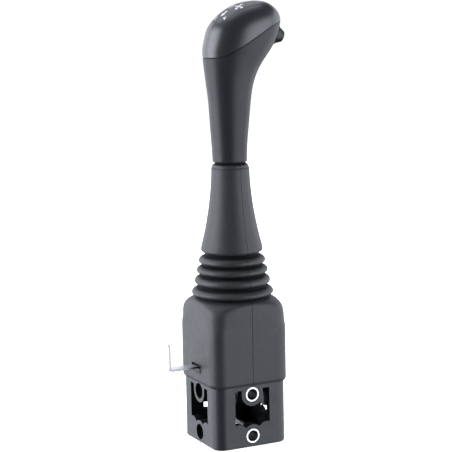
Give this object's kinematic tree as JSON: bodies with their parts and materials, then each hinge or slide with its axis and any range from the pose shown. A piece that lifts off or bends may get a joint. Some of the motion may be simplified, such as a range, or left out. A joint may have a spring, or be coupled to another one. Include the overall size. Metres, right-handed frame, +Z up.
{
  "type": "mechanical cable joystick",
  "caption": "Two-axis lever with a pistol-shaped grip, push button, rubber bellows boot, slide lock and a square windowed foot whose gimbal pulls two control cables.",
  "frame": {"origin": "centre of the square foot's bottom face", "axes": "+Z up along the lever, +X towards the grip's front and its button, the mounting sleeves along Y, the lock's tab on the -X side"},
  "size_m": [0.1009, 0.062, 0.331],
  "materials": {
    "housing_plastic": "matt black glass-filled moulding",
    "zinc_plated_steel": "bright zinc plate",
    "bronze": "sintered bronze",
    "boot_rubber": "matt moulded rubber",
    "grip_plastic": "satin charcoal plastic",
    "inlay_gloss": "semi-gloss charcoal panel",
    "button_rubber": "matt black rubber",
    "trim_plastic": "matt black plastic",
    "cast_steel": "phosphated casting",
    "machined_steel": "turned steel"
  },
  "bodies": {
    "housing": {"base_housing": "housing_plastic", "lower_mounting_sleeve": "zinc_plated_steel", "upper_mounting_sleeve": "zinc_plated_steel", "fore_aft_left_bush": "bronze", "fore_aft_right_bush": "bronze", "lateral_front_bush": "bronze", "lateral_rear_bush": "bronze", "lock_guide": "trim_plastic", "guide_screws": "machined_steel", "rubber_boot": "boot_rubber"},
    "gimbal": {"gimbal_ring": "cast_steel", "cross_pin": "machined_steel", "fore_aft_left_pin": "machined_steel", "fore_aft_right_pin": "machined_steel"},
    "yoke": {"lateral_yoke": "cast_steel", "lateral_front_pin": "machined_steel", "lateral_rear_pin": "machined_steel"},
    "fore_aft_link": {"fore_aft_clevis": "machined_steel", "fore_aft_clevis_pin": "machined_steel", "fore_aft_pin_clip": "machined_steel", "fore_aft_link_rod": "machined_steel", "fore_aft_fork_nut": "machined_steel", "fore_aft_socket_nut": "machined_steel", "fore_aft_cable_socket": "machined_steel"},
    "lateral_link": {"lateral_clevis": "machined_steel", "lateral_clevis_pin": "machined_steel", "lateral_pin_clip": "machined_steel", "lateral_link_rod": "machined_steel", "lateral_fork_nut": "machined_steel", "lateral_socket_nut": "machined_steel", "lateral_cable_socket": "machined_steel"},
    "lock": {"lock_slider": "zinc_plated_steel"},
    "stick": {"pivot_hub": "cast_steel", "lever_shaft": "machined_steel", "grip_jam_nut": "machined_steel", "grip_insert": "bronze", "grip_body": "grip_plastic", "grip_cap": "grip_plastic", "cap_inlay": "inlay_gloss", "button_bezel": "trim_plastic", "switch_mount": "trim_plastic", "switch_body": "trim_plastic", "button_spring": "machined_steel"},
    "button": {"push_button": "button_rubber"}
  },
  "joints": [
    {"name": "stick_fore_aft", "type": "hinge", "parent": "housing", "child": "gimbal", "pos_m": [0, 0, 0.088], "axis": [0, 1, 0], "range_deg": [-20, 20], "stiffness_Nm_per_rad": 2, "deforming": ["rubber_boot"]},
    {"name": "stick_lateral", "type": "hinge", "parent": "gimbal", "child": "stick", "pos_m": [0, 0, 0.088], "axis": [1, 0, 0], "range_deg": [-20, 20], "stiffness_Nm_per_rad": 2, "deforming": ["rubber_boot"]},
    {"name": "yoke_swing", "type": "hinge", "parent": "housing", "child": "yoke", "pos_m": [0, 0, 0.088], "axis": [1, 0, 0], "range_deg": [-20, 20]},
    {"name": "fore_aft_clevis_turn", "type": "hinge", "parent": "gimbal", "child": "fore_aft_link", "pos_m": [-0.019, 0.014, 0.088], "axis": [0, 1, 0], "range_deg": [-20, 20]},
    {"name": "lateral_clevis_turn", "type": "hinge", "parent": "yoke", "child": "lateral_link", "pos_m": [0.0181, -0.019, 0.088], "axis": [1, 0, 0], "range_deg": [-20, 20]},
    {"name": "lock_slide", "type": "slide", "parent": "housing", "child": "lock", "axis": [1, 0, 0], "range_m": [0, 0.0095]},
    {"name": "button_press", "type": "slide", "parent": "stick", "child": "button", "axis": [-0.9563, 0, 0.2924], "range_m": [0, 0.0025], "stiffness_N_per_m": 1000, "deforming": ["button_spring"]}
  ],
  "couplings": [
    {"joint": "yoke_swing", "follows": "stick_lateral", "ratio": 1},
    {"joint": "fore_aft_clevis_turn", "follows": "stick_fore_aft", "ratio": -1},
    {"joint": "lateral_clevis_turn", "follows": "stick_lateral", "ratio": -1}
  ]
}
